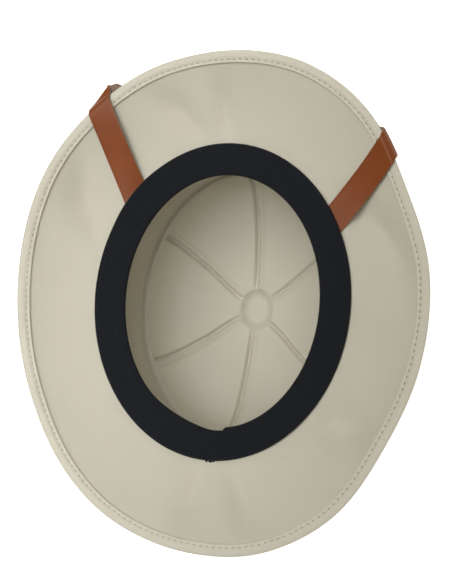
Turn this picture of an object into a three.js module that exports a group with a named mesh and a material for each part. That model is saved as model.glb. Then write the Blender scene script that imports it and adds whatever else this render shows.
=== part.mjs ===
import * as THREE from 'three';

// A moulded cloth pith helmet that lies on the button of its crown, open side up.
// Millimetres: +Y is the front of the helmet, +Z is up, and z = 0 is the surface it lies on.

// Shell: the crown stands on the brim's moulded hat band
const wall = 3;
const headHalfWidth = 86.5; // where the crown turns into the brim
const headHalfLength = 104.4;
const headDepth = 115; // from that turn to the inside of the crown's top
const brimHalfWidth = 134.8;
const brimHalfLength = 161.9;
const sideRise = 16; // how far the brim's edge stands above the turn
const frontRise = 24;
const backRise = 26;
const evenRise = 0.35; // share of that rise that is even, while the rest quickens to the edge
const turnRadius = 7;
const turnEnd = THREE.MathUtils.degToRad(80);
const ledgeDepth = 58; // the moulded hat band ends in a ledge at this depth
const ledgeStep = 3.5;
const ledgeHeight = 2;
const ribWidth = 7;
const ribRelief = 1.4;
const buttonHalfWidth = 13.4;
const buttonHalfLength = 16;
const buttonRise = 4;
const buttonFlare = 2.6; // the dish inside narrows by this much to its floor
const buttonFootDepth = 0.986; // where the dome meets the button, as a share of the head's depth
const foldHeight = 2.4; // the deepest soft fold of the brim

// Binding, sweatband and chin strap
const clearance = 0.3;
const bindingWidth = 5.7;
const bindingThickness = 1;
const sweatbandWidth = 20.9;
const sweatbandThickness = 2.5;
const sweatbandDrop = 3.6; // its inner edge hangs this much deeper
const sweatbandEaseAngle = THREE.MathUtils.degToRad(7); // how softly it rises over the strap
const strapWidth = 17;
const strapThickness = 1.2;
const strapTail = 18; // the length tucked under the sweatband
const foldDepth = wall / 2 + bindingThickness + 3 * clearance; // half of the strap's fold across the edge
const foldReach = bindingThickness + 3 * clearance; // how far that fold stands out from the edge
const foldTurn = THREE.MathUtils.degToRad(80);

// Mesh
const ribCount = 6;
const sectorColumns = 13; // columns from one rib to the next
const domeSteps = 9;
const angleStep = 0.01;
const shareStep = 0.01;

const baseHeight = wall + buttonRise + headDepth;
const sectorAngle = (2 * Math.PI) / ribCount;
const evenHalfRib = (2 * sectorAngle) / sectorColumns;

// Inside of the dome from its top to the ledge, as shares of the head's depth, half width and half length
const domeSections = [
  { depth: 0.957, width: 0.277, length: 0.29 },
  { depth: 0.909, width: 0.41, length: 0.46 },
  { depth: 0.843, width: 0.532, length: 0.603 },
  { depth: 0.765, width: 0.636, length: 0.723 },
  { depth: 0.661, width: 0.717, length: 0.819 },
  { depth: 0.574, width: 0.763, length: 0.862 },
];
const ledgeShare = { width: 0.786, length: 0.881 };

// Edge of the brim, a row each 20 degrees from the front over +X, as shares of the plain oval
const brimEdge = [
  { reach: 0.98 },
  { reach: 1.003 },
  { reach: 1.007 },
  { reach: 0.978 },
  { reach: 1.0 },
  { reach: 0.998 },
  { reach: 0.991 },
  { reach: 1.019 },
  { reach: 1.008 },
  { reach: 0.978 },
  { reach: 0.975 },
  { reach: 0.974 },
  { reach: 0.974 },
  { reach: 0.991 },
  { reach: 1.01 },
  { reach: 1.018 },
  { reach: 0.996 },
  { reach: 0.984 },
];

// Soft folds that run out to the brim's edge, in degrees from the front over +X
const brimFolds = [
  { angle: -14, spread: 8, height: -0.7 },
  { angle: 4, spread: 7, height: 0.5 },
  { angle: 66, spread: 12, height: -0.8 },
  { angle: 118, spread: 12, height: 0.5 },
  { angle: 147, spread: 9, height: -1 },
  { angle: 178, spread: 8, height: 0.6 },
  { angle: 196, spread: 8, height: -0.6 },
  { angle: 290, spread: 14, height: 0.7 },
];

// The strap leaves the sweatband at one angle and folds over the brim's edge at another
const strapSides = [
  { exitAngle: THREE.MathUtils.degToRad(-49.8), foldAngle: THREE.MathUtils.degToRad(-40.9) },
  { exitAngle: THREE.MathUtils.degToRad(55.5), foldAngle: THREE.MathUtils.degToRad(49.5) },
];

const shellCloth = new THREE.MeshStandardMaterial({ color: 0xbab49f, roughness: 0.92, metalness: 0 });
const bindingCloth = new THREE.MeshStandardMaterial({ color: 0xb3ad98, roughness: 0.92, metalness: 0 });
const bandCloth = new THREE.MeshStandardMaterial({ color: 0x1b1c20, roughness: 0.85, metalness: 0 });
const leather = new THREE.MeshStandardMaterial({ color: 0x854b2b, roughness: 0.5, metalness: 0 });

// Value at an angle on the smooth curve through evenly spaced rows
function around(rows, column, angle) {
  const turns = angle / (2 * Math.PI);
  const place = (turns - Math.floor(turns)) * rows.length;
  const row = Math.floor(place);
  const [before, from, to, after] = [-1, 0, 1, 2].map(
    (step) => rows[(row + step + rows.length) % rows.length][column],
  );
  const share = place - row;
  const bend = 2 * before - 5 * from + 4 * to - after + share * (3 * (from - to) + after - before);
  return from + 0.5 * share * (to - before + share * bend);
}

function angleBetween(one, other) {
  return Math.atan2(Math.sin(one - other), Math.cos(one - other));
}

function bump(distance, spread) {
  return Math.exp(-((distance / spread) ** 2));
}

function oval(halfWidth, halfLength, angle, z) {
  return new THREE.Vector3(halfWidth * Math.sin(angle), halfLength * Math.cos(angle), z);
}

// Joins equal closed loops of points into one body, closed into a ring or capped at both ends
function skin(loops, isRing) {
  const size = loops[0].length;
  const points = loops.flat();
  const index = [];
  const bands = isRing ? loops.length : loops.length - 1;
  for (let band = 0; band < bands; band++) {
    const here = band * size;
    const there = ((band + 1) % loops.length) * size;
    for (let i = 0; i < size; i++) {
      const j = (i + 1) % size;
      index.push(here + i, there + i, there + j, here + i, there + j, here + j);
    }
  }
  if (!isRing) {
    const lastLoop = loops.length - 1;
    addCap(points, index, loops[0], 0, false);
    addCap(points, index, loops[lastLoop], lastLoop * size, true);
  }
  const geometry = new THREE.BufferGeometry();
  geometry.setAttribute('position', new THREE.Float32BufferAttribute(points.flatMap((p) => p.toArray()), 3));
  geometry.setIndex(signedVolume(points, index) > 0 ? index : index.reverse());
  geometry.computeVertexNormals();
  return geometry;
}

function addCap(points, index, loop, start, atEnd) {
  const centre = loop.reduce((sum, p) => sum.add(p), new THREE.Vector3()).divideScalar(loop.length);
  const middle = points.push(centre) - 1;
  for (let i = 0; i < loop.length; i++) {
    const j = (i + 1) % loop.length;
    index.push(middle, start + (atEnd ? j : i), start + (atEnd ? i : j));
  }
}

function signedVolume(points, index) {
  let volume = 0;
  for (let i = 0; i < index.length; i += 3) {
    const [a, b, c] = [points[index[i]], points[index[i + 1]], points[index[i + 2]]];
    volume += a.dot(new THREE.Vector3().crossVectors(b, c)) / 6;
  }
  return volume;
}

// Brim

function brimRise(angle) {
  const endRise = Math.cos(angle) > 0 ? frontRise : backRise;
  return sideRise + (endRise - sideRise) * Math.cos(angle) ** 2;
}

function brimHalfSizes(angle, share) {
  const reach = around(brimEdge, 'reach', angle);
  return {
    width: THREE.MathUtils.lerp(headHalfWidth, brimHalfWidth * reach, share),
    length: THREE.MathUtils.lerp(headHalfLength, brimHalfLength * reach, share),
  };
}

function foldAt(angle) {
  return brimFolds.reduce((sum, fold) => {
    const away = angleBetween(angle, THREE.MathUtils.degToRad(fold.angle));
    return sum + fold.height * bump(away, THREE.MathUtils.degToRad(fold.spread));
  }, 0);
}

// A point inside the brim: share 0 is the turn into the crown and share 1 the edge
function brimPoint(angle, share) {
  const half = brimHalfSizes(angle, share);
  const rise = brimRise(angle) * (evenRise * share + (1 - evenRise) * share ** 2);
  const fold = foldHeight * foldAt(angle) * Math.max(share, 0) ** 2;
  return oval(half.width, half.length, angle, baseHeight + rise + fold);
}

function brimOutward(angle, share) {
  return brimPoint(angle, share).sub(brimPoint(angle, share - shareStep)).normalize();
}

function brimAround(angle, share) {
  return brimPoint(angle + angleStep, share).sub(brimPoint(angle - angleStep, share)).normalize();
}

// Unit normal that points out of the helmet, which is down as it lies
function brimNormal(angle, share) {
  return new THREE.Vector3().crossVectors(brimOutward(angle, share), brimAround(angle, share)).normalize();
}

// Share of the brim at a distance in from its edge
function shareFromEdge(angle, distance) {
  const length = brimPoint(angle, 1).distanceTo(brimPoint(angle, 0));
  return 1 - distance / length;
}

// Angle and share of the brim's point above a place in plan
function brimPlace(x, y) {
  let low = 0;
  let high = 1.1;
  let angle = Math.atan2(x / brimHalfWidth, y / brimHalfLength);
  for (let i = 0; i < 30; i++) {
    const share = (low + high) / 2;
    const half = brimHalfSizes(angle, share);
    angle = Math.atan2(x / half.width, y / half.length);
    if (Math.hypot(x / half.width, y / half.length) > 1) low = share;
    else high = share;
  }
  return { angle, share: (low + high) / 2 };
}

// Shell

function turnPoint(angle, bend) {
  const inset = turnRadius * Math.sin(bend);
  const z = baseHeight - turnRadius * (1 - Math.cos(bend));
  return oval(headHalfWidth - inset, headHalfLength - inset, angle, z);
}

function ledgePoint(angle, step, z) {
  return oval(headHalfWidth * ledgeShare.width + step, headHalfLength * ledgeShare.length + step, angle, z);
}

function wallPoint(angle, share) {
  const top = turnPoint(angle, turnEnd);
  return top.lerp(ledgePoint(angle, ledgeStep, baseHeight - ledgeDepth), share);
}

// Rings of the inside from the button to the brim's edge. Columns crowd round the ribs where even is 0.
function shellStations() {
  const halfSizes = ({ depth, width, length }) =>
    new THREE.Vector3(headHalfWidth * width, headHalfLength * length, baseHeight - headDepth * depth);
  const foot = new THREE.Vector3(buttonHalfWidth, buttonHalfLength, baseHeight - headDepth * buttonFootDepth);
  const ledge = halfSizes({ ...ledgeShare, depth: (ledgeDepth + ledgeHeight) / headDepth });
  const dome = new THREE.CatmullRomCurve3([foot, ...domeSections.map(halfSizes), ledge], false, 'centripetal');
  const stations = [];
  for (let i = 0; i <= domeSteps; i++) {
    const half = dome.getPointAt(i / domeSteps);
    const rib = i > 0 && i < domeSteps ? 1 : 0;
    stations.push({ even: 0, rib, point: (angle) => oval(half.x, half.y, angle, half.z) });
  }
  stations.push({ even: 0, rib: 0, point: (angle) => wallPoint(angle, 1) });
  for (const share of [0.66, 0.33, 0]) {
    stations.push({ even: 1 - share, rib: 0, point: (angle) => wallPoint(angle, share) });
  }
  for (const share of [0.67, 0.33]) {
    stations.push({ even: 1, rib: 0, point: (angle) => turnPoint(angle, turnEnd * share) });
  }
  for (const share of [0, 0.16, 0.32, 0.48, 0.62, 0.75]) {
    stations.push({ even: 1, rib: 0, point: (angle) => brimPoint(angle, share) });
  }
  for (const distance of [bindingWidth, 0]) {
    stations.push({
      even: 1,
      rib: 0,
      point: (angle) => brimPoint(angle, shareFromEdge(angle, distance)),
    });
  }
  return stations;
}

// Half the angle that a rib takes up where its ring passes
function halfRibAngle(point, rib, even) {
  const angle = rib * sectorAngle;
  const speed = point(angle + angleStep).distanceTo(point(angle - angleStep)) / (2 * angleStep);
  return THREE.MathUtils.lerp(ribWidth / 2 / speed, evenHalfRib, even);
}

// Angles of a ring's columns, with how much of the rib's relief each one takes
function ringColumns({ point, even }) {
  const columns = [];
  for (let rib = 0; rib < ribCount; rib++) {
    const start = rib * sectorAngle;
    const half = halfRibAngle(point, rib, even);
    const nextHalf = halfRibAngle(point, rib + 1, even);
    columns.push({ angle: start, relief: 0.5 });
    columns.push({ angle: start + half / 2, relief: 1 });
    const plain = sectorColumns - 4;
    for (let i = 0; i <= plain; i++) {
      const free = sectorAngle - half - nextHalf;
      columns.push({ angle: start + half + (free * i) / plain, relief: 0 });
    }
    columns.push({ angle: start + sectorAngle - nextHalf / 2, relief: 1 });
  }
  return columns;
}

// Directions out of the wall at each point of a ring, mitred where the section has a corner
function ringNormals(rings, number) {
  const ring = rings[number];
  const inner = rings[Math.max(number - 1, 0)];
  const outer = rings[Math.min(number + 1, rings.length - 1)];
  return ring.map((p, i) => {
    const along = ring[(i + 1) % ring.length].clone().sub(ring[(i + ring.length - 1) % ring.length]);
    const sides = [p.clone().sub(inner[i]), outer[i].clone().sub(p)].filter((side) => side.length() > 0);
    const [one, two = one] = sides.map((side) => side.cross(along).normalize());
    return one.clone().add(two).divideScalar(1 + one.dot(two));
  });
}

// Inner and outer rings of the wall, and the angles of the columns at the button
function shellRings() {
  const stations = shellStations();
  const columns = stations.map(ringColumns);
  const rings = stations.map((station, i) => columns[i].map(({ angle }) => station.point(angle)));
  const normals = rings.map((ring, i) => ringNormals(rings, i));
  const surface = (offset) =>
    rings.map((ring, i) =>
      ring.map((p, j) => {
        const relief = ribRelief * stations[i].rib * columns[i][j].relief;
        return p.clone().addScaledVector(normals[i][j], offset + relief);
      }),
    );
  return { inside: surface(0), outside: surface(wall), angles: columns[0].map(({ angle }) => angle) };
}

// Crown: the dome from the button to the ledge
function makeCrown({ inside, outside, angles }) {
  const end = domeSteps + 1;
  const dish = angles.map((angle) =>
    oval(buttonHalfWidth - buttonFlare, buttonHalfLength - buttonFlare, angle, wall),
  );
  const foot = angles.map((angle) => oval(buttonHalfWidth, buttonHalfLength, angle, 0));
  return skin([dish, ...inside.slice(0, end), ...outside.slice(0, end).reverse(), foot], false);
}

// Brim: with the hat band that the crown meets at the ledge, a hairline from it
function makeBrim({ inside, outside }) {
  const fromLedge = (rings) => {
    const [ledge, next, ...rest] = rings.slice(domeSteps);
    const start = ledge.map((p, i) => p.clone().lerp(next[i], clearance / p.distanceTo(next[i])));
    return [start, next, ...rest];
  };
  return skin([...fromLedge(inside), ...fromLedge(outside).reverse()], true);
}

// Binding: a folded strip of cloth round the brim's edge

function bindingSection(angle) {
  const inner = -clearance;
  const outer = wall + clearance;
  const nose = bindingThickness;
  const legs = shareFromEdge(angle, bindingWidth);
  const onLeg = (offset) => brimPoint(angle, legs).addScaledVector(brimNormal(angle, legs), offset);
  const onEdge = (outward, offset) =>
    brimPoint(angle, 1)
      .addScaledVector(brimOutward(angle, 1), outward)
      .addScaledVector(brimNormal(angle, 1), offset);
  return [
    onLeg(inner - bindingThickness),
    onEdge(clearance, inner - bindingThickness),
    onEdge(clearance + bindingThickness, inner - bindingThickness + nose),
    onEdge(clearance + bindingThickness, outer + bindingThickness - nose),
    onEdge(clearance, outer + bindingThickness),
    onLeg(outer + bindingThickness),
    onLeg(outer),
    onEdge(clearance, outer),
    onEdge(clearance, inner),
    onLeg(inner),
  ];
}

function makeBinding() {
  const station = { even: 1, point: (angle) => brimPoint(angle, 1) };
  return skin(ringColumns(station).map(({ angle }) => bindingSection(angle)), true);
}

// Sweatband: a padded ring that covers the turn and leans into the head opening

// Rows across it from its outer edge to its inner edge and back
const sweatbandSection = [
  { across: 0, up: 0 },
  { across: 0.1, up: 0 },
  { across: 0.5, up: 0 },
  { across: 0.95, up: 0 },
  { across: 1, up: 0.5 },
  { across: 0.94, up: 1 },
  { across: 0.5, up: 1.1 },
  { across: 0.06, up: 1 },
  { across: 0, up: 0.6 },
];

// How far the sweatband rises to clear the strap under it
function strapLift(angle) {
  const lift = strapThickness + clearance;
  const tallest = Math.max(
    ...strapSides.map((side) => {
      const away = Math.abs(angleBetween(angle, side.exitAngle)) - exitHalfAngle(side);
      return away < 0 ? 1 : bump(away, sweatbandEaseAngle);
    }),
  );
  return lift * tallest;
}

function makeSweatband() {
  const count = ribCount * sectorColumns;
  const loops = Array.from({ length: count }, (_, column) => {
    const angle = (2 * Math.PI * column) / count;
    return sweatbandSection.map(({ across, up }) => {
      const inset = sweatbandWidth * across;
      const drop = sweatbandDrop * Math.max(across - 0.1, 0);
      const lift = strapLift(angle) * (1 - across);
      const z = baseHeight + clearance + lift - drop + sweatbandThickness * up;
      return oval(headHalfWidth - inset, headHalfLength - inset, angle, z);
    });
  });
  return skin(loops, true);
}

// Chin strap: one loop that comes out from under the sweatband, folds over the brim's edge on both
// sides and lies across the front outside the brim

const strapAcross = [-1, 0, 1];

function planDirection(side) {
  return brimPoint(side.foldAngle, 1).sub(brimPoint(side.exitAngle, 0)).setZ(0).normalize();
}

// Half the angle that the strap covers at a share of the brim, cut along the brim
function strapHalfAngle(angle, share, side) {
  const along = brimAround(angle, share).setZ(0).normalize();
  const span = brimPoint(angle + angleStep, share).distanceTo(brimPoint(angle - angleStep, share));
  const slant = new THREE.Vector3().crossVectors(along, planDirection(side)).length();
  return strapWidth / 2 / slant / (span / (2 * angleStep));
}

function exitHalfAngle(side) {
  return strapHalfAngle(side.exitAngle, 0, side);
}

// How far the strap slips along an edge that it crosses aslant, for each millimetre that it goes on
function slipAt(angle, share, direction) {
  const along = brimAround(angle, share).setZ(0).normalize();
  const outward = new THREE.Vector3(-along.y, along.x, 0);
  return direction.dot(along) / Math.abs(direction.dot(outward));
}

// Rows of the tail, which follows the turn and then the wall, deepest first
function tailRows(side) {
  const turnLength = turnRadius * turnEnd;
  const wallLength = wallPoint(side.exitAngle, 0).distanceTo(wallPoint(side.exitAngle, 1));
  const half = exitHalfAngle(side);
  const slip = slipAt(side.exitAngle, 0, planDirection(side).negate());
  const rows = [];
  for (const share of [1, 0.75, 0.5, 0.37, 0.25, 0.12, 0]) {
    const down = strapTail * share;
    const middle = side.exitAngle + (down * slip) / headHalfLength;
    const place = (angle, extra = 0) => {
      const depth = down + extra;
      return depth < turnLength
        ? turnPoint(angle, depth / turnRadius)
        : wallPoint(angle, (depth - turnLength) / wallLength);
    };
    rows.push(
      strapAcross.map((across) => {
        const angle = middle + across * half;
        const along = place(angle + angleStep).sub(place(angle - angleStep));
        const downward = place(angle, shareStep).sub(place(angle, 0));
        const inward = new THREE.Vector3().crossVectors(downward, along).normalize();
        const face = place(angle).addScaledVector(inward, clearance);
        return { face, back: face.clone().addScaledVector(inward, strapThickness) };
      }),
    );
  }
  return rows;
}

// The strap goes round the bound edge in a slant, so its middle moves along the edge as it turns
function foldMiddle(side, turn) {
  const slip = slipAt(side.foldAngle, 1, planDirection(side));
  return side.foldAngle + (slip * (foldDepth + strapThickness / 2) * turn) / brimHalfLength;
}

// Rows round the bound edge, from the inside of the brim to the outside
function foldRows(side) {
  const half = strapHalfAngle(side.foldAngle, 1, side);
  return [-1, -0.6, -0.2, 0.2, 0.6, 1].map((share) => {
    const turn = foldTurn * share;
    return strapAcross.map((across) => {
      const angle = foldMiddle(side, turn) + across * half;
      const outward = brimOutward(angle, 1);
      const normal = brimNormal(angle, 1);
      const onOval = (reach, depth) =>
        outward.clone().multiplyScalar(reach * Math.cos(turn)).addScaledVector(normal, depth * Math.sin(turn));
      const away = onOval(foldDepth, foldReach).normalize();
      const face = brimPoint(angle, 1).addScaledVector(normal, wall / 2).add(onOval(foldReach, foldDepth));
      return { face, back: face.clone().addScaledVector(away, strapThickness) };
    });
  });
}

// Straight rows between two rows of the strap
function bridgeRows(from, to, count) {
  return Array.from({ length: count }, (_, i) =>
    from.map((p, j) => ({
      face: p.face.clone().lerp(to[j].face, (i + 1) / (count + 1)),
      back: p.back.clone().lerp(to[j].back, (i + 1) / (count + 1)),
    })),
  );
}

// Rows on the outside of the brim, straight across the front from one fold to the other
function frontRows(sides) {
  const [left, right] = sides.map((side) => foldMiddle(side, foldTurn));
  const start = brimPoint(left, 1).setZ(0);
  const end = brimPoint(right, 1).setZ(0);
  const path = end.clone().sub(start);
  const square = new THREE.Vector3(-path.y, path.x, 0).normalize();
  const leftEdge = brimAround(left, 1).setZ(0);
  const rightEdge = brimAround(right, 1).setZ(0).negate();
  const count = 24;
  const rows = [];
  for (let i = 1; i < count; i++) {
    const share = i / count;
    const nearLeft = Math.max(1 - share * 4, 0);
    const nearRight = Math.max(1 - (1 - share) * 4, 0);
    const ruling = square.clone().lerp(leftEdge, nearLeft).lerp(rightEdge, nearRight).normalize();
    const half = strapWidth / 2 / ruling.dot(square);
    const centre = start.clone().addScaledVector(path, share);
    rows.push(
      strapAcross.map((across) => {
        const p = centre.clone().addScaledVector(ruling, across * half);
        const place = brimPlace(p.x, p.y);
        const normal = brimNormal(place.angle, place.share);
        const nearEdge = THREE.MathUtils.smoothstep(place.share, 0.6, shareFromEdge(place.angle, bindingWidth));
        const offset = wall + 2 * clearance + bindingThickness * nearEdge;
        const face = brimPoint(place.angle, place.share).addScaledVector(normal, offset);
        return { face, back: face.clone().addScaledVector(normal, strapThickness) };
      }),
    );
  }
  return rows;
}

function makeStrap() {
  const [left, right] = strapSides.map((side) => {
    const tail = tailRows(side);
    const fold = foldRows(side);
    return [...tail, ...bridgeRows(tail[tail.length - 1], fold[0], 5), ...fold];
  });
  const rightInOrder = right.reverse().map((row) => row.reverse());
  const front = frontRows(strapSides);
  const rows = [...left, ...front, ...rightInOrder];
  const loops = rows.map((row) => [...row.map((p) => p.face), ...row.map((p) => p.back).reverse()]);
  return skin(loops, false);
}

const rings = shellRings();
const pieces = [
  { name: 'helmet_crown', geometry: makeCrown(rings), material: shellCloth },
  { name: 'helmet_brim', geometry: makeBrim(rings), material: shellCloth },
  { name: 'brim_binding', geometry: makeBinding(), material: bindingCloth },
  { name: 'sweatband', geometry: makeSweatband(), material: bandCloth },
  { name: 'chin_strap', geometry: makeStrap(), material: leather },
];

const helmet = new THREE.Group();
helmet.name = 'pith_helmet';
for (const { name, geometry, material } of pieces) {
  const mesh = new THREE.Mesh(geometry, material);
  mesh.name = name;
  helmet.add(mesh);
}

export default helmet;
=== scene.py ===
import math
from functools import cache, partial

import bmesh
import bpy
from mathutils import Matrix, Vector, noise


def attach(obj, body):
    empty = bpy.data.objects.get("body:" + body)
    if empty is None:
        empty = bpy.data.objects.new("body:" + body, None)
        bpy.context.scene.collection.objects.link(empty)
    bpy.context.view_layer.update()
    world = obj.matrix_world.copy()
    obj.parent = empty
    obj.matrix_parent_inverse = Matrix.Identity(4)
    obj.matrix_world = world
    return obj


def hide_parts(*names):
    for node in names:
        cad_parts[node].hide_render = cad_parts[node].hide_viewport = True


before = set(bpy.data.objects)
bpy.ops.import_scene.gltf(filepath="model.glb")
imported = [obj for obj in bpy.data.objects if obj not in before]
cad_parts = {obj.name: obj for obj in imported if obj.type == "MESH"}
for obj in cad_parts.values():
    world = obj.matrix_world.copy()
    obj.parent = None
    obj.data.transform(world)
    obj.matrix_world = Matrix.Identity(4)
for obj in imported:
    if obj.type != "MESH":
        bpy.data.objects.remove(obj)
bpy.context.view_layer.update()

MM = 0.001

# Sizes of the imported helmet, in millimetres. +Y is the front and z = 0 the surface it lies on.
WALL = 3.0
HEAD_HALF_WIDTH = 86.5
HEAD_HALF_LENGTH = 104.4
HEAD_DEPTH = 115.0
BRIM_HALF_WIDTH = 134.8
BRIM_HALF_LENGTH = 161.9
SIDE_RISE = 16.0
FRONT_RISE = 24.0
BACK_RISE = 26.0
# Share of that rise that is even, while the rest quickens to the edge with a power
EVEN_RISE_SIDE, RISE_POWER_SIDE = 0.05, 2.5
EVEN_RISE_FRONT, EVEN_RISE_BACK, RISE_POWER_END = 0.55, 0.75, 2.0
EDGE_SQUEEZE = 0.8  # how far the binding presses each face of the edge in
TURN_RADIUS = 7.0
TURN_END = math.radians(80)
LEDGE_DEPTH = 58.0
LEDGE_STEP = 3.5
BUTTON_RISE = 4.0
WAVE_HEIGHT = 2.4
BASE_HEIGHT = WALL + BUTTON_RISE + HEAD_DEPTH

CLEARANCE = 0.3
BINDING_WIDTH = 5.7
BINDING_THICKNESS = 1.0
SWEATBAND_WIDTH = 20.9
SWEATBAND_THICKNESS = 2.5
SWEATBAND_DROP = 3.6
SWEATBAND_EASE = math.radians(7)
STRAP_WIDTH = 17.0
STRAP_THICKNESS = 1.2
STRAP_TAIL = 18.0

# Moulded and sewn detail
RIB_COUNT = 6
RIB_HALF_WIDTH = 4.0
RIB_GROOVE = -1.6  # where its groove is deepest, from the rib's middle towards +X
RIB_CREST = 1.4  # where its ridge is highest
RIB_RELIEF = 3.2  # depth of the groove
RIDGE_SHARE = 0.45  # height of the ridge as a share of that depth
SEAM_FROM_EDGE = 3.5
SEAM_DEPTH = 0.15  # how far the seam pulls the binding in
DIMPLE_DEPTH = 0.75  # how much further each stitch does
STITCH_PITCH = 4.2
STITCH_LENGTH = 1.8
STITCH_RADIUS = 0.36
STITCH_HEIGHT = 1.1  # of its middle over the brim's face, so that it lies in its dimple
BAND_ROWS = 9
BAND_GROOVE = 0.35  # depth between the band's stitched rows

# The band's lapped seam: degrees of its line at the outer and the inner edge, and millimetres
SEAM_LINE = (177.5, 170.8)
LAP_SINK = 0.5  # how far the left end sinks under the right one
LAP_RISE = 0.35  # how far the right end rises over it
LAP_NARROWER = 1.5  # how much narrower the left end is cut
LAP_WIDER = 0.4  # how much wider the right end grows
LAP_BULGE = 1.5  # how far the left end bulges beyond its narrow part
BAND_GAPE = 1.1  # how far the band stands off the brim at the back right

# How finely the pieces are divided
SPIN_RADIUS = 100.0  # of the ring that a section is spun on before its points find their place
SHELL_COLUMNS = 312
RIB_CROWDING = 0.75  # how much closer those columns stand at the ribs
DOME_RINGS = 64
BRIM_RINGS = 38
BINDING_COLUMNS = 720
BAND_COLUMNS = 432
TAIL_ROWS = 14
FOLD_ROWS = 14
BRIDGE_ROWS = 20
FRONT_ROWS = 60
NUDGE = 0.01  # small step in an angle, a share or a length, by which directions are found

# Dome from the middle of its top to the ledge: depth, half width and half length as shares
DOME = [
    (1.034, 0.0, 0.0),
    (1.033, 0.045, 0.050),
    (1.030, 0.082, 0.090),
    (1.016, 0.110, 0.116),
    (0.995, 0.133, 0.138),
    (0.979, 0.158, 0.162),
    (0.957, 0.277, 0.290),
    (0.909, 0.410, 0.460),
    (0.843, 0.532, 0.603),
    (0.765, 0.636, 0.723),
    (0.661, 0.717, 0.819),
    (0.574, 0.763, 0.862),
    (0.522, 0.786, 0.881),
]
DISH_ROWS = 5  # the first rows of the dome make the button's dish

# Reach of the brim's edge each 20 degrees from the front over +X, as a share of the plain oval
BRIM_REACH = [
    0.98, 1.003, 1.007, 0.978, 1.0, 0.998, 0.991, 1.019, 1.008,
    0.978, 0.975, 0.974, 0.974, 0.991, 1.01, 1.018, 0.996, 0.984,
]

# Waves of the brim's edge: degrees from the front over +X, spread in degrees, height as a share
EDGE_WAVES = [
    (-14, 8, -0.7),
    (4, 7, 0.5),
    (66, 12, -0.8),
    (118, 12, 0.5),
    (147, 9, -1.0),
    (178, 8, 0.6),
    (196, 8, -0.6),
    (290, 14, 0.7),
]

# Soft folds between the sweatband and the binding: degrees of the middle at the inner and the outer
# end, half width there in millimetres, and height for each millimetre of half width
BRIM_FOLDS = [
    (-14, -27.5, 8, 13, -0.5),
    (-3.5, -5, 8, 10, -0.5),
    (-71, -56, 10, 16, -0.42),
    (-76, -72, 8, 10, 0.25),
    (50, 80, 13, 20, -0.35),
    (88, 95, 9, 12, 0.25),
    (137, 131.5, 7, 9, 0.35),
    (127, 121, 10, 15, -0.5),
    (181, 185, 8, 13, -0.5),
    (168, 160, 8, 13, -0.5),
]

SQUEEZE_START = 0.94  # share of the brim from which its edge is squeezed

# Where the strap leaves the sweatband and where it folds over the brim's edge
STRAP_SIDES = [
    (math.radians(-49.8), math.radians(-40.9)),
    (math.radians(55.5), math.radians(49.5)),
]


def lerp(start, end, share):
    return start + (end - start) * share


def smoothstep(value, low, high):
    share = min(max((value - low) / (high - low), 0.0), 1.0)
    return share * share * (3 - 2 * share)


def catmull(before, start, end, after, share):
    bend = 2 * before - 5 * start + 4 * end - after + share * (3 * (start - end) + after - before)
    return start + 0.5 * share * (end - before + share * bend)


def around(values, angle):
    """Value at an angle on the smooth closed curve through evenly spaced values."""
    place = (angle / math.tau % 1.0) * len(values)
    row = int(place)
    nearby = [values[(row + step) % len(values)] for step in (-1, 0, 1, 2)]
    return catmull(*nearby, place - row)


def along(rows, place):
    """Row at a place on the smooth open curve through the rows."""
    last = len(rows) - 1
    row = min(int(place), last - 1)
    nearby = [rows[min(max(row + step, 0), last)] for step in (-1, 0, 1, 2)]
    return [catmull(*values, place - row) for values in zip(*nearby)]


def angle_between(one, other):
    return math.atan2(math.sin(one - other), math.cos(one - other))


def bump(distance, spread):
    return math.exp(-((distance / spread) ** 2))


def oval(half_width, half_length, angle, z):
    return Vector((half_width * math.sin(angle), half_length * math.cos(angle), z))


# Brim

def brim_rise(angle):
    end_rise = FRONT_RISE if math.cos(angle) > 0 else BACK_RISE
    return SIDE_RISE + (end_rise - SIDE_RISE) * math.cos(angle) ** 2


@cache
def brim_reach(angle):
    return around(BRIM_REACH, angle)


@cache
def rise_curve(angle):
    side = math.sin(angle) ** 2
    even_end = EVEN_RISE_FRONT if math.cos(angle) > 0 else EVEN_RISE_BACK
    return lerp(even_end, EVEN_RISE_SIDE, side), lerp(RISE_POWER_END, RISE_POWER_SIDE, side)


def brim_half_sizes(angle, share):
    reach = brim_reach(angle)
    return (
        lerp(HEAD_HALF_WIDTH, BRIM_HALF_WIDTH * reach, share),
        lerp(HEAD_HALF_LENGTH, BRIM_HALF_LENGTH * reach, share),
    )


@cache
def wave_at(angle):
    return sum(
        height * bump(angle_between(angle, math.radians(place)), math.radians(spread))
        for place, spread, height in EDGE_WAVES
    )


def brim_point(angle, share):
    """Point inside the brim: share 0 is the turn into the crown and share 1 the edge."""
    half_width, half_length = brim_half_sizes(angle, share)
    even, power = rise_curve(angle)
    rise = brim_rise(angle) * (even * share + (1 - even) * max(share, 0) ** power)
    lift = WAVE_HEIGHT * wave_at(angle) * max(share, 0) ** 2
    return oval(half_width, half_length, angle, BASE_HEIGHT + rise + lift)


def fold_height(angle, share):
    """Height of the soft folds, which die out under the sweatband and the binding."""
    point = brim_point(angle, share)
    radius = math.hypot(point.x, point.y)
    height = 0.0
    for inner, outer, inner_spread, outer_spread, steepness in BRIM_FOLDS:
        away = radius * angle_between(angle, math.radians(lerp(inner, outer, share)))
        spread = lerp(inner_spread, outer_spread, share)
        height += steepness * spread * bump(away, spread)
    return height * smoothstep(share, 0.0, 0.3) * (1 - smoothstep(share, 0.5, 0.92))


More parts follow.
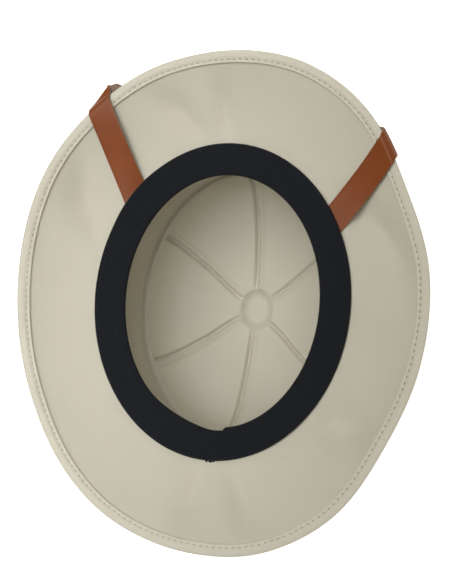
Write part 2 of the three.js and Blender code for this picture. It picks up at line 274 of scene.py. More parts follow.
def folded_brim_point(angle, share):
    """Point inside the brim with its soft folds and with the edge pressed in by the binding."""
    point = brim_point(angle, share)
    point.z += fold_height(angle, share)
    if share > SQUEEZE_START:
        point += brim_normal(angle, share) * EDGE_SQUEEZE * smoothstep(share, SQUEEZE_START, 1)
    return point


def brim_outward(angle, share):
    return (brim_point(angle, share) - brim_point(angle, share - NUDGE)).normalized()


def brim_around(angle, share):
    return (brim_point(angle + NUDGE, share) - brim_point(angle - NUDGE, share)).normalized()


def brim_normal(angle, share):
    """Unit normal that points out of the helmet, which is down as it lies."""
    return brim_outward(angle, share).cross(brim_around(angle, share)).normalized()


def share_from_edge(angle, distance):
    return 1 - distance / (brim_point(angle, 1) - brim_point(angle, 0)).length


def brim_place(x, y):
    """Angle and share of the brim's point above a place in plan."""
    low, high = 0.0, 1.2
    angle = math.atan2(x / BRIM_HALF_WIDTH, y / BRIM_HALF_LENGTH)
    for _ in range(30):
        share = (low + high) / 2
        half_width, half_length = brim_half_sizes(angle, share)
        angle = math.atan2(x / half_width, y / half_length)
        if math.hypot(x / half_width, y / half_length) > 1:
            low = share
        else:
            high = share
    return angle, (low + high) / 2


# Crown

def turn_point(angle, bend):
    inset = TURN_RADIUS * math.sin(bend)
    z = BASE_HEIGHT - TURN_RADIUS * (1 - math.cos(bend))
    return oval(HEAD_HALF_WIDTH - inset, HEAD_HALF_LENGTH - inset, angle, z)


def dome_point(angle, share):
    depth, width, length = along(DOME, share * (len(DOME) - 1))
    z = BASE_HEIGHT - HEAD_DEPTH * depth
    return oval(HEAD_HALF_WIDTH * width, HEAD_HALF_LENGTH * length, angle, z)


def wall_point(angle, share):
    _, width, length = DOME[-1]
    foot = oval(
        HEAD_HALF_WIDTH * width + LEDGE_STEP,
        HEAD_HALF_LENGTH * length + LEDGE_STEP,
        angle,
        BASE_HEIGHT - LEDGE_DEPTH,
    )
    return turn_point(angle, TURN_END).lerp(foot, share)


# The ledge in from the wall's foot, with its depth below it: it ends in a fine groove at the wall
LEDGE_PROFILE = [(3.2, 0.0), (2.8, -0.35), (2.0, -0.4), (1.4, -0.1), (1.0, 0.7), (0.5, 0.8), (0.1, 0.1)]
# Rows of the wall as shares of the way down it, with the depth of the crease that runs round it
WALL_ROWS = [
    (1.0, 0.0), (0.985, 0.0), (0.96, 0.0), (0.94, 0.0), (0.93, 0.25), (0.92, 0.5), (0.91, 0.25),
    (0.9, 0.0), (0.88, 0.0), (0.8, 0.0), (0.65, 0.0), (0.5, 0.0), (0.35, 0.0), (0.2, 0.0), (0.1, 0.0),
]


def ledge_point(angle, inset, drop):
    """Point of the ledge: in from the wall's foot and deeper than it."""
    foot = wall_point(angle, 1)
    inward = Vector((-foot.x, -foot.y, 0)).normalized()
    return foot + inward * inset - Vector((0, 0, drop))


def creased_wall_point(angle, share, depth):
    """Point of the wall, pressed out by a depth."""
    place = wall_point(angle, share)
    return place + Vector((place.x, place.y, 0)).normalized() * depth


def shell_stations():
    """Rings of the inside, from the middle of the top to the brim's edge: how even its columns are,
    how much rib it has, and its point at an angle."""
    stations = []
    dish_end = DISH_ROWS / (len(DOME) - 1)
    for ring in range(DOME_RINGS):
        share = ring / (DOME_RINGS - 1)
        rib = smoothstep(share, dish_end * 0.85, dish_end * 1.15) * (1 - smoothstep(share, 0.97, 1.0))
        stations.append((0.0, rib, partial(dome_point, share=share)))
    for inset, drop in LEDGE_PROFILE:
        stations.append((0.0, 0.0, partial(ledge_point, inset=inset, drop=drop)))
    for share, depth in WALL_ROWS:
        stations.append((1 - share, 0.0, partial(creased_wall_point, share=share, depth=depth)))
    for share in (1.0, 0.8, 0.6, 0.4, 0.2):
        stations.append((1.0, 0.0, partial(turn_point, bend=TURN_END * share)))
    for ring in range(BRIM_RINGS):
        stations.append((1.0, 0.0, partial(folded_brim_point, share=ring / (BRIM_RINGS - 1))))
    return stations


# Mesh

def spun(profile, steps, closed):
    """Mesh made by spinning a profile of (radius, height) points round Z."""
    mesh = bmesh.new()
    verts = [mesh.verts.new((radius, 0, height)) for radius, height in profile]
    pairs = list(zip(verts, verts[1:] + verts[:1])) if closed else list(zip(verts, verts[1:]))
    edges = [mesh.edges.new(pair) for pair in pairs]
    bmesh.ops.spin(
        mesh, geom=verts + edges, cent=(0, 0, 0), axis=(0, 0, 1), angle=math.tau,
        steps=steps, use_merge=True,
    )
    return mesh


def finish_piece(name, mesh, materials):
    """Object from a mesh worked in millimetres."""
    bmesh.ops.scale(mesh, vec=(MM, MM, MM), verts=mesh.verts)
    data = bpy.data.meshes.new(name)
    mesh.to_mesh(data)
    mesh.free()
    for polygon in data.polygons:
        polygon.use_smooth = True
    for material in materials:
        data.materials.append(material)
    piece = bpy.data.objects.new(name, data)
    bpy.context.scene.collection.objects.link(piece)
    return piece


def rib_relief(angle, point, strength):
    """Outward relief of the moulded ribs: a groove at the left, a ridge beside it and a right side that
    eases out."""
    if strength == 0:
        return 0.0
    sector = math.tau / RIB_COUNT
    rib = round(angle / sector) * sector
    way = point(angle) - point(rib)
    distance = math.copysign(way.length, way.x)
    rise = smoothstep(distance, RIB_GROOVE, RIB_CREST)
    groove = smoothstep(distance, -RIB_HALF_WIDTH, RIB_GROOVE) * (1 - rise)
    ridge = rise * (1 - smoothstep(distance, RIB_CREST, RIB_HALF_WIDTH + 1.5))
    return RIB_RELIEF * strength * (groove - RIDGE_SHARE * ridge)


def make_shell(cloth):
    """Crown and brim as one moulding. Its columns crowd at the ribs, and its wall thins at the edge,
    where the binding squeezes it."""
    stations = shell_stations()
    first_brim_ring = len(stations) - BRIM_RINGS
    crowd = RIB_CROWDING / RIB_COUNT
    step = 0.004
    mesh = spun([(SPIN_RADIUS, float(ring)) for ring in range(len(stations))], SHELL_COLUMNS, False)
    unsqueezed = {}
    for vert in mesh.verts:
        ring = round(vert.co.z)
        even, rib, point = stations[ring]
        angle = math.atan2(vert.co.x, vert.co.y)
        angle -= crowd * math.sin(RIB_COUNT * angle) * (1 - even)
        place = point(angle)
        relief = rib_relief(angle, point, rib)
        if relief:
            nearby = stations[ring + 1][2](angle) - stations[ring - 1][2](angle)
            normal = nearby.cross(point(angle + step) - point(angle - step)).normalized()
            place = place + normal * relief
        vert.co = place
        share = (ring - first_brim_ring) / (BRIM_RINGS - 1)
        unsqueezed[vert] = 1 - smoothstep(share, SQUEEZE_START, 1)
    bmesh.ops.remove_doubles(mesh, verts=mesh.verts, dist=0.01)
    bmesh.ops.recalc_face_normals(mesh, faces=mesh.faces)
    lowest = min(mesh.faces, key=lambda face: face.calc_center_median().z)
    if lowest.normal.z < 0:
        bmesh.ops.reverse_faces(mesh, faces=mesh.faces)
    weights = [unsqueezed[vert] for vert in mesh.verts]
    shell = finish_piece("moulded_shell", mesh, [cloth])
    squeeze = shell.vertex_groups.new(name="unsqueezed")
    for index, weight in enumerate(weights):
        squeeze.add([index], weight, "REPLACE")
    wall = shell.modifiers.new("wall", "SOLIDIFY")
    wall.thickness = WALL * MM
    wall.offset = -1
    wall.use_even_offset = True
    wall.vertex_group = squeeze.name
    wall.thickness_vertex_group = 1 - 2 * EDGE_SQUEEZE / WALL
    return shell


def stitch_angles():
    """Angles of the stitches along the binding, a stitch pitch apart."""
    rounds = 720
    points = [brim_point(math.tau * i / rounds, 0.97) for i in range(rounds + 1)]
    lengths = [0.0]
    for one, other in zip(points, points[1:]):
        lengths.append(lengths[-1] + (other - one).length)
    count = round(lengths[-1] / STITCH_PITCH)
    angles = []
    reached = 0
    for stitch in range(count):
        target = lengths[-1] * stitch / count
        while lengths[reached + 1] < target:
            reached += 1
        share = (target - lengths[reached]) / (lengths[reached + 1] - lengths[reached])
        angles.append(math.tau * (reached + share) / rounds)
    return angles


def binding_profile():
    """Closed section of the folded strip: distance out from the brim's edge and distance from the
    middle of its thickness. It stands highest at its inner edge and rolls down to the nose."""
    face = [
        (-5.7, 2.2), (-5.62, 2.8), (-5.35, 3.1), (-4.7, 3.1), (-4.1, 3.0), (-3.5, 2.95), (-2.9, 2.85),
        (-2.1, 2.6), (-1.3, 2.25), (-0.6, 1.85), (0.0, 1.45), (0.5, 1.1), (0.95, 0.7), (1.2, 0.3),
    ]
    lining = [(-5.7, 1.8), (-2.2, 1.75), (-1.0, 1.4), (-0.2, 0.9), (0.25, 0.4)]
    outside = [(out, -up) for out, up in face] + [(out, up) for out, up in reversed(face)]
    inside = [(out, up) for out, up in lining] + [(out, -up) for out, up in reversed(lining)]
    return [(out, WALL / 2 + up) for out, up in outside + inside]


@cache
def edge_frame(angle):
    """The brim's width at an angle, with its edge's point, outward direction and normal."""
    edge = brim_point(angle, 1)
    width = (edge - brim_point(angle, 0)).length
    return width, edge, brim_outward(angle, 1), brim_normal(angle, 1)


def edge_point(angle, out, offset):
    """Point near the brim's edge: out from the edge and offset along the outward normal."""
    width, edge, outward, normal = edge_frame(angle)
    if out < 0:
        return brim_point(angle, 1 + out / width) + normal * offset
    return edge + outward * out + normal * offset


def make_binding(cloth, stitches):
    """Strip of cloth folded round the edge, dimpled by its stitches and a little uneven."""

    @cache
    def nearest_stitch(angle):
        return min(abs(angle_between(angle, stitch)) for stitch in stitches)

    section = [(SPIN_RADIUS + out, offset) for out, offset in binding_profile()]
    mesh = spun(section, BINDING_COLUMNS, True)
    step = math.tau / BINDING_COLUMNS
    for vert in mesh.verts:
        angle = round(math.atan2(vert.co.x, vert.co.y) / step) * step
        out = math.hypot(vert.co.x, vert.co.y) - SPIN_RADIUS
        offset = vert.co.z
        away = offset - WALL / 2
        if out < -2 and abs(away) > 2:
            dimple = DIMPLE_DEPTH * (1 - smoothstep(nearest_stitch(angle), 0.006, 0.014))
            pull = bump(out + SEAM_FROM_EDGE, 1.0) * (SEAM_DEPTH + dimple)
            swell = 0.15 * noise.noise(Vector((math.sin(angle) * 26, math.cos(angle) * 26, out * 0.2)))
            offset += (swell - pull) * math.copysign(1, away)
        vert.co = edge_point(angle, out, offset)
    bmesh.ops.recalc_face_normals(mesh, faces=mesh.faces)
    return finish_piece("edge_binding", mesh, [cloth])


def make_stitches(thread, stitches):
    """Thread lying in the binding's seam on both faces of the brim."""
    mesh = bmesh.new()
    layer = 10.0  # height between the stitches of the two faces before they are placed
    bmesh.ops.create_uvsphere(mesh, u_segments=6, v_segments=4, radius=1)
    bmesh.ops.translate(mesh, vec=(SPIN_RADIUS, 0, 0), verts=mesh.verts)
    bmesh.ops.duplicate(mesh, geom=mesh.verts[:] + mesh.edges[:] + mesh.faces[:])
    mesh.verts.ensure_lookup_table()
    half = len(mesh.verts) // 2
    bmesh.ops.translate(mesh, vec=(0, 0, layer), verts=mesh.verts[half:])
    turn = math.tau / len(stitches)
    bmesh.ops.spin(
        mesh, geom=mesh.verts[:] + mesh.edges[:] + mesh.faces[:], cent=(0, 0, 0), axis=(0, 0, 1),
        angle=math.tau - turn, steps=len(stitches) - 1, use_duplicate=True,
    )
    places = {}
    for vert in mesh.verts:
        stitch = round(math.atan2(vert.co.y, vert.co.x) / turn) % len(stitches)
        outer = vert.co.z > layer / 2
        if (stitch, outer) not in places:
            offset = WALL + STITCH_HEIGHT if outer else -STITCH_HEIGHT
            angle = stitches[stitch]
            middle = edge_point(angle, -SEAM_FROM_EDGE, offset)
            along_edge = (edge_point(angle + NUDGE, -SEAM_FROM_EDGE, offset) - middle).normalized()
            normal = brim_normal(angle, 1)
            places[stitch, outer] = middle, along_edge, normal.cross(along_edge), normal
        middle, along_edge, across, normal = places[stitch, outer]
        local = Matrix.Rotation(-stitch * turn, 3, "Z") @ vert.co
        local -= Vector((SPIN_RADIUS, 0, layer if outer else 0))
        thickness = (across * local.x + normal * local.z) * STITCH_RADIUS
        vert.co = middle + along_edge * local.y * STITCH_LENGTH / 2 + thickness
    bmesh.ops.recalc_face_normals(mesh, faces=mesh.faces)
    return finish_piece("binding_stitches", mesh, [thread])


@cache
def strap_lift(angle):
    """How far the sweatband rises to clear the strap under it."""
    tallest = 0.0
    for exit_angle, fold_angle in STRAP_SIDES:
        half = strap_half_angle(exit_angle, 0, exit_angle, fold_angle)
        away = abs(angle_between(angle, exit_angle)) - half
        tallest = max(tallest, 1.0 if away < 0 else bump(away, SWEATBAND_EASE))
    return (STRAP_THICKNESS + CLEARANCE) * tallest


def sweatband_profile():
    """Closed section of the band: distance in from its outer edge and height above its underside."""
    top = []
    points = BAND_ROWS * 6
    for i in range(points + 1):
        share = i / points
        row = math.cos(math.tau * BAND_ROWS * share)
        edge = min(share, 1 - share)
        crown = SWEATBAND_THICKNESS * (0.5 + 0.5 * smoothstep(edge, 0, 0.06))
        top.append((SWEATBAND_WIDTH * share, crown + 0.15 - BAND_GROOVE * (row + 1) / 2))
    bottom = [(SWEATBAND_WIDTH * share, 0.0) for share in (0.985, 0.9, 0.7, 0.5, 0.3, 0.15, 0.015)]
    return top + bottom


def seam_away(angle, across):
    """Distance round the band from the seam where its ends lap, in millimetres, towards the left."""
    seam = math.radians(lerp(*SEAM_LINE, across))
    return angle_between(angle, seam) * (HEAD_HALF_WIDTH - SWEATBAND_WIDTH * across)


def make_sweatband(cloth):
    """Padded ring over the turn into the crown, with its lapped seam at the back."""
    section = [(SPIN_RADIUS - inset, up) for inset, up in sweatband_profile()]
    mesh = spun(section, BAND_COLUMNS, True)
    step = math.tau / BAND_COLUMNS
    for vert in mesh.verts:
        angle = round(math.atan2(vert.co.x, vert.co.y) / step) * step
        inset = SPIN_RADIUS - math.hypot(vert.co.x, vert.co.y)
        across = inset / SWEATBAND_WIDTH
        up = vert.co.z
        # The right end laps over the left one, which is cut a little narrower and then bulges
        away = seam_away(angle, across)
        under = smoothstep(away, -0.4, 0.6)
        up -= LAP_SINK * under * (1 - smoothstep(away, 2, 16)) * min(up / SWEATBAND_THICKNESS, 1)
        up += LAP_RISE * (1 - under) * smoothstep(away, -9, -1) * min(up / SWEATBAND_THICKNESS, 1)
        narrower = LAP_NARROWER * under * (1 - smoothstep(away, 4, 22))
        wider = LAP_WIDER * (1 - under) * smoothstep(away, -12, -1)
        inset += across**2 * (LAP_BULGE * bump(away - 34, 18) + wider - narrower)
        drop = SWEATBAND_DROP * max(across - 0.1, 0)
        lift = strap_lift(angle) * (1 - across)
        gape = bump(angle_between(angle, math.radians(140)), math.radians(13))
        lift += BAND_GAPE * gape * (1 - across) ** 2
        z = BASE_HEIGHT + CLEARANCE + lift - drop + up
        vert.co = oval(HEAD_HALF_WIDTH - inset, HEAD_HALF_LENGTH - inset, angle, z)
    bmesh.ops.recalc_face_normals(mesh, faces=mesh.faces)
    return finish_piece("ribbed_sweatband", mesh, [cloth])


def make_seam_knot(thread):
    """Knotted thread end that sticks out where the band's seam meets the brim."""
    mesh = bmesh.new()
    for turn, reach, size in ((177.4, 0.1, 1.2), (179.0, 0.3, 0.9), (176.0, 0.2, 0.8)):
        angle = math.radians(turn)
        place = oval(HEAD_HALF_WIDTH + reach, HEAD_HALF_LENGTH + reach, angle, BASE_HEIGHT + 1.0)
        bmesh.ops.create_icosphere(mesh, subdivisions=2, radius=size, matrix=Matrix.Translation(place))
    return finish_piece("seam_knot", mesh, [thread])


# Chin strap

def plan_direction(exit_angle, fold_angle):
    way = brim_point(fold_angle, 1) - brim_point(exit_angle, 0)
    return Vector((way.x, way.y, 0)).normalized()


def flat_around(angle, share):
    way = brim_around(angle, share)
    return Vector((way.x, way.y, 0)).normalized()


@cache
def strap_half_angle(angle, share, exit_angle, fold_angle):
    speed = (brim_point(angle + NUDGE, share) - brim_point(angle - NUDGE, share)).length / (2 * NUDGE)
    slant = flat_around(angle, share).cross(plan_direction(exit_angle, fold_angle)).length
    return STRAP_WIDTH / 2 / slant / speed


def slip_at(angle, share, direction):
    way = flat_around(angle, share)
    outward = Vector((-way.y, way.x, 0))
    return direction.dot(way) / abs(direction.dot(outward))


STRAP_ACROSS = [i / 4 for i in range(-4, 5)]  # the strap's columns, as shares of half its width
FOLD_DEPTH = WALL / 2 + BINDING_THICKNESS + 3 * CLEARANCE
FOLD_REACH = BINDING_THICKNESS + CLEARANCE + 0.2
FOLD_FLARE = 4.5  # how far the strap's front edge stands out from the brim beyond the left fold
FOLD_TURN = math.radians(80)  # how far it bends to each side of the fold's middle


def tail_rows(exit_angle, fold_angle):
    """Rows of the strap's side that faces the helmet, each point with its direction away from it."""
    turn_length = TURN_RADIUS * TURN_END
    wall_length = (wall_point(exit_angle, 0) - wall_point(exit_angle, 1)).length
    half = strap_half_angle(exit_angle, 0, exit_angle, fold_angle)
    slip = slip_at(exit_angle, 0, -plan_direction(exit_angle, fold_angle))

    def place(angle, down):
        if down < turn_length:
            return turn_point(angle, down / TURN_RADIUS)
        return wall_point(angle, (down - turn_length) / wall_length)

    rows = []
    for i in range(TAIL_ROWS + 1):
        down = STRAP_TAIL * (1 - i / TAIL_ROWS)
        middle = exit_angle + down * slip / HEAD_HALF_LENGTH
        row = []
        for across in STRAP_ACROSS:
            angle = middle + across * half
            way = place(angle + NUDGE, down) - place(angle - NUDGE, down)
            downward = place(angle, down + NUDGE) - place(angle, down)
            inward = downward.cross(way).normalized()
            row.append((place(angle, down) + inward * CLEARANCE, inward))
        rows.append(row)
    return rows


def fold_middle(exit_angle, fold_angle, turn):
    slip = slip_at(fold_angle, 1, plan_direction(exit_angle, fold_angle))
    return fold_angle + slip * (FOLD_DEPTH + STRAP_THICKNESS / 2) * turn / BRIM_HALF_LENGTH


def fold_rows(exit_angle, fold_angle):
    """Rows round the brim's edge, from its inside to its outside."""
    half = strap_half_angle(fold_angle, 1, exit_angle, fold_angle)
    rows = []
    for i in range(FOLD_ROWS + 1):
        turn = FOLD_TURN * (2 * i / FOLD_ROWS - 1)
        row = []
        for across in STRAP_ACROSS:
            angle = fold_middle(exit_angle, fold_angle, turn) + across * half
            outward, normal = brim_outward(angle, 1), brim_normal(angle, 1)
            middle = brim_point(angle, 1) + normal * WALL / 2
            reach = outward * math.cos(turn) * FOLD_REACH + normal * math.sin(turn) * FOLD_DEPTH
            away = outward * math.cos(turn) * FOLD_DEPTH + normal * math.sin(turn) * FOLD_REACH
            if fold_angle < 0:
                reach += outward * FOLD_FLARE * smoothstep(turn, 0, FOLD_TURN) * (across + 1) / 2
            row.append((middle + reach, away.normalized()))
        rows.append(row)
    return rows


def bridge_rows(start, end, fold_angle):
    """Rows over the brim from the sweatband to the fold. The strap sinks towards the hollow of
    the brim on the right, and is twisted on the left, where its front edge stands off."""
    even, power = rise_curve(fold_angle)
    rows = []
    for i in range(1, BRIDGE_ROWS + 1):
        share = i / (BRIDGE_ROWS + 1)
        hollow = brim_rise(fold_angle) * (1 - even) * (share - share**power)
        row = []
        for (one, one_away), (other, other_away), across in zip(start, end, STRAP_ACROSS):
            sunk = 0.75 if fold_angle > 0 else lerp(0.5, -0.7, (across + 1) / 2)
            away = one_away.lerp(other_away, share).normalized()
            row.append((one.lerp(other, share) - away * hollow * sunk, away))
        rows.append(row)
    return rows


def front_rows():
    """Rows of the hidden run outside the brim, from the left fold over the front to the right one."""
    left, right = (fold_middle(*side, FOLD_TURN) for side in STRAP_SIDES)
    start, end = brim_point(left, 1), brim_point(right, 1)
    path = Vector((end.x - start.x, end.y - start.y, 0))
    square = Vector((-path.y, path.x, 0)).normalized()
    out_left = Vector((start.x, start.y, 0)).normalized()
    rows = []
    for i in range(1, FRONT_ROWS):
        share = i / FRONT_ROWS
        ruling = square.lerp(flat_around(left, 1), max(1 - share * 4, 0))
        ruling = ruling.lerp(-flat_around(right, 1), max(1 - (1 - share) * 4, 0)).normalized()
        half = STRAP_WIDTH / 2 / ruling.dot(square)
        flare = FOLD_FLARE * (1 - smoothstep(i, 0, 8))
        row = []
        for across in STRAP_ACROSS:
            spot = start + path * share + ruling * across * half
            spot += out_left * flare * (across + 1) / 2
            angle, reach = brim_place(spot.x, spot.y)
            normal = brim_normal(angle, reach)
            near_edge = smoothstep(reach, 0.6, share_from_edge(angle, BINDING_WIDTH))
            offset = WALL + 2 * CLEARANCE + BINDING_THICKNESS * near_edge
            on_brim = brim_point(angle, reach) + Vector((0, 0, fold_height(angle, reach)))
            row.append((on_brim + normal * offset, normal))
        rows.append(row)
    return rows


def strap_rows():
    """Rows of the whole strap, from its left end under the sweatband to its right one."""
    halves = []
    for side in STRAP_SIDES:
        tail = tail_rows(*side)
        fold = fold_rows(*side)
        halves.append(tail + bridge_rows(tail[-1], fold[0], side[1]) + fold)
    left, right = halves
    return left + front_rows() + [list(reversed(row)) for row in reversed(right)]


def make_strap(leather, flesh):
    """Leather strap, grain side out, from its rows. The cut edges take the flesh side's look."""
    rows = strap_rows()
    columns = len(STRAP_ACROSS)
    mesh = bmesh.new()
    bmesh.ops.create_grid(mesh, x_segments=len(rows) - 1, y_segments=columns - 1, size=1)
    mesh.verts.ensure_lookup_table()
    away_from = {}
    for vert in mesh.verts:
        row = round((vert.co.x + 1) / 2 * (len(rows) - 1))
        column = round((vert.co.y + 1) / 2 * (columns - 1))
        vert.co, away_from[vert] = rows[row][column]
    bmesh.ops.recalc_face_normals(mesh, faces=mesh.faces)
    face = mesh.faces[:][len(mesh.faces) // 2]
    if face.normal.dot(away_from[face.verts[0]]) > 0:
        bmesh.ops.reverse_faces(mesh, faces=mesh.faces)
    for face in mesh.faces:
        face.material_index = 1
    strap = finish_piece("leather_strap", mesh, [leather, flesh])
    thick = strap.modifiers.new("thickness", "SOLIDIFY")
    thick.thickness = STRAP_THICKNESS * MM
    thick.offset = -1
    thick.use_even_offset = True
    thick.material_offset = -1
    edge = strap.modifiers.new("worn edge", "BEVEL")
    edge.width = 0.35 * MM
    edge.segments = 2
    edge.limit_method = "ANGLE"
    return strap


# Materials

def linear(hex_colour):
    """Linear colour from an sRGB hex value."""
    channels = [int(hex_colour[i : i + 2], 16) / 255 for i in (0, 2, 4)]
    return [c / 12.92 if c <= 0.04045 else ((c + 0.055) / 1.055) ** 2.4 for c in channels] + [1.0]


def add(tree, kind, inputs=None, **settings):
    """Adds a node, sets its settings, and sets or links its inputs."""
    node = tree.nodes.new(kind)
    for key, value in settings.items():
        setattr(node, key, value)
    for key, value in (inputs or {}).items():
        if isinstance(value, bpy.types.NodeSocket):
            tree.links.new(value, node.inputs[key])
        else:
            node.inputs[key].default_value = value
    return node


def new_material(name, **sockets):
    material = bpy.data.materials.new(name)
    material.use_nodes = True
    shader = material.node_tree.nodes["Principled BSDF"]
    for key, value in sockets.items():
        shader.inputs[key.replace("_", " ")].default_value = value
    return material, material.node_tree, shader


def wave(tree, coordinate, pitch):
    """Sine over a coordinate in metres, with a pitch in millimetres."""
    turn = add(tree, "ShaderNodeMath", {0: coordinate, 1: math.tau / (pitch * MM)}, operation="MULTIPLY")
    return add(tree, "ShaderNodeMath", {0: turn.outputs[0]}, operation="SINE").outputs[0]


def stretched_noise(tree, place, scale, detail=2.0):
    """Noise whose grains differ in size along the three axes."""
    mapped = add(tree, "ShaderNodeMapping", {"Vector": place, "Scale": scale})
    return add(
        tree, "ShaderNodeTexNoise", {"Vector": mapped.outputs[0], "Scale": 1.0, "Detail": detail}
    ).outputs[0]


def blend(tree, share, one, other):
    """Colour between two hex colours."""
    return add(
        tree, "ShaderNodeMix", {0: share, 6: linear(one), 7: linear(other)}, data_type="RGBA"
    ).outputs[2]


def weighted(tree, *terms):
    """Sum of values, each with its weight."""
    total = None
    for value, weight in terms:
        inputs = {0: value, 1: weight, 2: 0.0 if total is None else total}
        total = add(tree, "ShaderNodeMath", inputs, operation="MULTIPLY_ADD").outputs[0]
    return total


def raise_surface(tree, shader, height, strength, depth):
    """Bump of a depth in millimetres."""
    inputs = {"Height": height, "Strength": strength, "Distance": depth * MM}
    bump_node = add(tree, "ShaderNodeBump", inputs)
    tree.links.new(bump_node.outputs[0], shader.inputs["Normal"])


def cotton_drill(name, light, dark):
    """Cotton drill bonded to foam and pressed in a mould: dry and matte, with fine weft lines from
    side to side. Its threads are 0.5 mm apart and are drawn at 1.1 mm, so that they show."""
    material, tree, shader = new_material(name, Roughness=0.94, Sheen_Weight=0.05, Sheen_Roughness=0.6)
    place = add(tree, "ShaderNodeTexCoord").outputs["Object"]
    axes = add(tree, "ShaderNodeSeparateXYZ", {0: place})
    weft = wave(tree, axes.outputs[1], 1.1)
    warp = wave(tree, axes.outputs[0], 1.3)
    slub = stretched_noise(tree, place, (70, 1100, 300))
    mottle = stretched_noise(tree, place, (24, 24, 24), 3.0)
    share = weighted(tree, (slub, 0.9), (mottle, 0.5), (weft, 0.08), (warp, 0.04))
    near = add(tree, "ShaderNodeMapRange", {"Value": share, "From Min": 0.35, "From Max": 1.05})
    tree.links.new(blend(tree, near.outputs[0], light, dark), shader.inputs["Base Color"])
    raise_surface(tree, shader, weighted(tree, (slub, 0.6), (weft, 0.3), (warp, 0.15)), 0.22, 0.12)
    return material


def cotton_webbing(name):
    """Black cotton band sewn in close rows: matte, its threads of random darker and paler tone, and
    paler where they stand, which is a painted highlight on their raised tops.
    """
    material, tree, shader = new_material(name, Roughness=0.9, Sheen_Weight=0.04, Sheen_Roughness=0.5)
    shader.inputs["Specular IOR Level"].default_value = 0.3
    place = add(tree, "ShaderNodeTexCoord").outputs["Object"]
    threads = stretched_noise(tree, place, (1100, 1100, 1100))
    # One noise both raises the threads and pales them, so their raised tops carry painted highlight
    # besides their random tone.
    tree.links.new(blend(tree, threads, "090C12", "181C24"), shader.inputs["Base Color"])
    raise_surface(tree, shader, threads, 0.4, 0.25)
    return material


def dyed_leather(name):
    """Smooth dyed cowhide: warm brown, finely grained, with a broad soft shine."""
    material, tree, shader = new_material(name, Roughness=0.5)
    shader.inputs["Specular IOR Level"].default_value = 0.4
    place = add(tree, "ShaderNodeTexCoord").outputs["Object"]
    grain = add(tree, "ShaderNodeTexVoronoi", {"Vector": place, "Scale": 1300.0})
    tone = stretched_noise(tree, place, (45, 45, 45), 4.0)
    tree.links.new(blend(tree, tone, "7A380E", "8E4A1A"), shader.inputs["Base Color"])
    raise_surface(tree, shader, grain.outputs[0], 0.25, 0.08)
    return material


def leather_flesh(name):
    """Flesh side and cut edges of the strap: dull, fibrous, greyer and paler than its face."""
    material, tree, shader = new_material(name, Roughness=0.9)
    place = add(tree, "ShaderNodeTexCoord").outputs["Object"]
    fibres = stretched_noise(tree, place, (900, 900, 900), 4.0)
    tree.links.new(blend(tree, fibres, "7E6654", "9A8474"), shader.inputs["Base Color"])
    raise_surface(tree, shader, fibres, 0.4, 0.15)
    return material


def sewing_thread(name, light, dark):
    """Spun polyester sewing thread, with the twist's small light and dark flecks."""
    material, tree, shader = new_material(name, Roughness=0.65)
    place = add(tree, "ShaderNodeTexCoord").outputs["Object"]
    twist = stretched_noise(tree, place, (1800, 1800, 1800))
    tree.links.new(blend(tree, twist, light, dark), shader.inputs["Base Color"])
    return material


# Camera, floor and light

def place_camera():
    """The photo's view, found from the two ovals of the sweatband and the button."""
    tilt_x, tilt_y, roll = (math.radians(d) for d in (14.06, -2.36, 5.5))
    distance = 750 * MM
    focal_pixels = 1143.1
    frame_height = 584
    back = Vector((math.sin(tilt_x), math.sin(tilt_y), 0))
    back.z = math.sqrt(1 - back.x**2 - back.y**2)
    right = Vector((0, 1, 0)).cross(back).normalized()
    up = back.cross(right)
    turned_right = right * math.cos(roll) + up * math.sin(roll)
    turned_up = up * math.cos(roll) - right * math.sin(roll)
    aim = Vector((3.53, 6.18, BASE_HEIGHT)) * MM
    data = bpy.data.cameras.new("camera")
    data.sensor_fit = "VERTICAL"
    data.sensor_height = 36
    data.lens = focal_pixels / frame_height * data.sensor_height
    camera = bpy.data.objects.new("camera", data)
    bpy.context.scene.collection.objects.link(camera)
    turn = Matrix((turned_right, turned_up, back)).transposed().to_4x4()
    camera.matrix_world = Matrix.Translation(aim + back * distance) @ turn
    bpy.context.scene.camera = camera


def make_floor():
    """Pale floor that glows a little, so that it looks as white as the photo's background."""
    mesh = bmesh.new()
    bmesh.ops.create_grid(mesh, x_segments=1, y_segments=1, size=4000)
    material, _, shader = new_material("pale floor", Base_Color=linear("F4F4F2"), Roughness=0.9)
    shader.inputs["Emission Color"].default_value = (1, 1, 1, 1)
    shader.inputs["Emission Strength"].default_value = 0.8
    finish_piece("floor", mesh, [material])


def aim_light(name, data, place, target):
    light = bpy.data.objects.new(name, data)
    bpy.context.scene.collection.objects.link(light)
    way = Vector(target) - Vector(place)
    light.matrix_world = Matrix.Translation(place) @ way.to_track_quat("-Z", "Y").to_matrix().to_4x4()


def add_softbox(name, azimuth, tilt, power):
    """Softbox over the helmet: degrees from its front over +X, degrees from straight above, watts."""
    data = bpy.data.lights.new(name, "AREA")
    data.size = 0.5
    data.energy = power
    turn, lean = math.radians(azimuth), math.radians(tilt)
    middle = Vector((0, 0, 0.12))
    way = Vector((math.sin(lean) * math.sin(turn), math.sin(lean) * math.cos(turn), math.cos(lean)))
    aim_light(name, data, middle + way * 1.3, middle)


def add_soft_spot(name, place, target, spread, power):
    data = bpy.data.lights.new(name, "SPOT")
    data.shadow_soft_size = 0.15
    data.spot_size = math.radians(spread)
    data.spot_blend = 1
    data.energy = power
    aim_light(name, data, place, target)


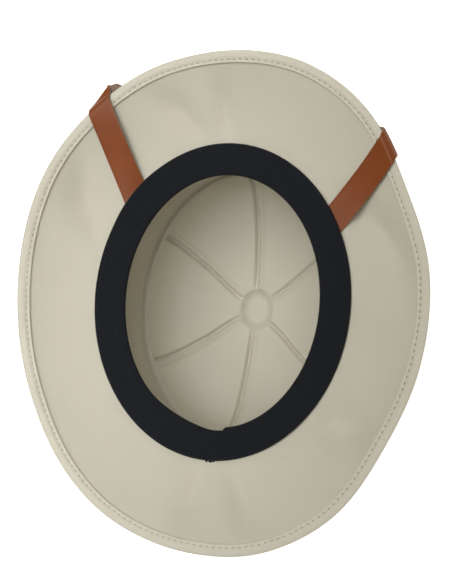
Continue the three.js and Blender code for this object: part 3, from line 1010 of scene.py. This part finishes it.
def light_studio():
    """Soft light from overhead and a little from the front left, with soft spots on the brim, one into
    the crown from the left, and a weak warm light all round that browns the crown's shaded side."""
    scene = bpy.context.scene
    scene.view_settings.view_transform = "Standard"
    world = bpy.data.worlds.new("studio")
    world.use_nodes = True
    world.node_tree.nodes["Background"].inputs[0].default_value = (1, 0.9, 0.68, 1)
    world.node_tree.nodes["Background"].inputs[1].default_value = 0.24
    scene.world = world
    add_softbox("front", 0, 20, 3.2)
    add_softbox("front left", -45, 18, 2.5)
    add_softbox("back left", -135, 18, 1.6)
    add_softbox("right", 90, 18, 1.2)
    add_soft_spot("left brim", (-0.1, 0, 0.9), (-0.16, -0.02, 0.14), 30, 4.5)
    add_soft_spot("front brim", (-0.05, 0.1, 0.9), (-0.04, 0.17, 0.14), 24, 8)
    add_soft_spot("back left brim", (-0.05, -0.1, 0.9), (-0.1, -0.14, 0.14), 26, 7)
    add_soft_spot("crown", (-0.42, -0.14, 1), (0.01, 0, 0.02), 13, 6)


place_camera()
make_floor()
light_studio()

shell_cloth = cotton_drill("cotton drill on foam", "D1CDBF", "CCC8BA")
binding_cloth = cotton_drill("cotton drill binding", "DCD8CB", "D3CFC1")
band_cloth = cotton_webbing("black cotton webbing")
strap_leather = dyed_leather("brown dyed leather")
strap_back = leather_flesh("leather flesh side")
thread = sewing_thread("polyester thread", "A09A86", "B2AC98")
black_thread = sewing_thread("black polyester thread", "0C0D10", "202228")

stitches = stitch_angles()
shell = make_shell(shell_cloth)
binding = make_binding(binding_cloth, stitches)
thread_rows = make_stitches(thread, stitches)
sweatband = make_sweatband(band_cloth)
seam_knot = make_seam_knot(black_thread)
strap = make_strap(strap_leather, strap_back)

for piece, nodes, slot in (
    (shell, ("helmet_crown", "helmet_brim"), "shell_cloth"),
    (binding, ("brim_binding",), "binding_cloth"),
    (sweatband, ("sweatband",), "band_cloth"),
    (strap, ("chin_strap",), "strap_leather"),
):
    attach(piece, "root")
    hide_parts(*nodes)
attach(thread_rows, "root")
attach(seam_knot, "root")

bpy.context.view_layer.update()
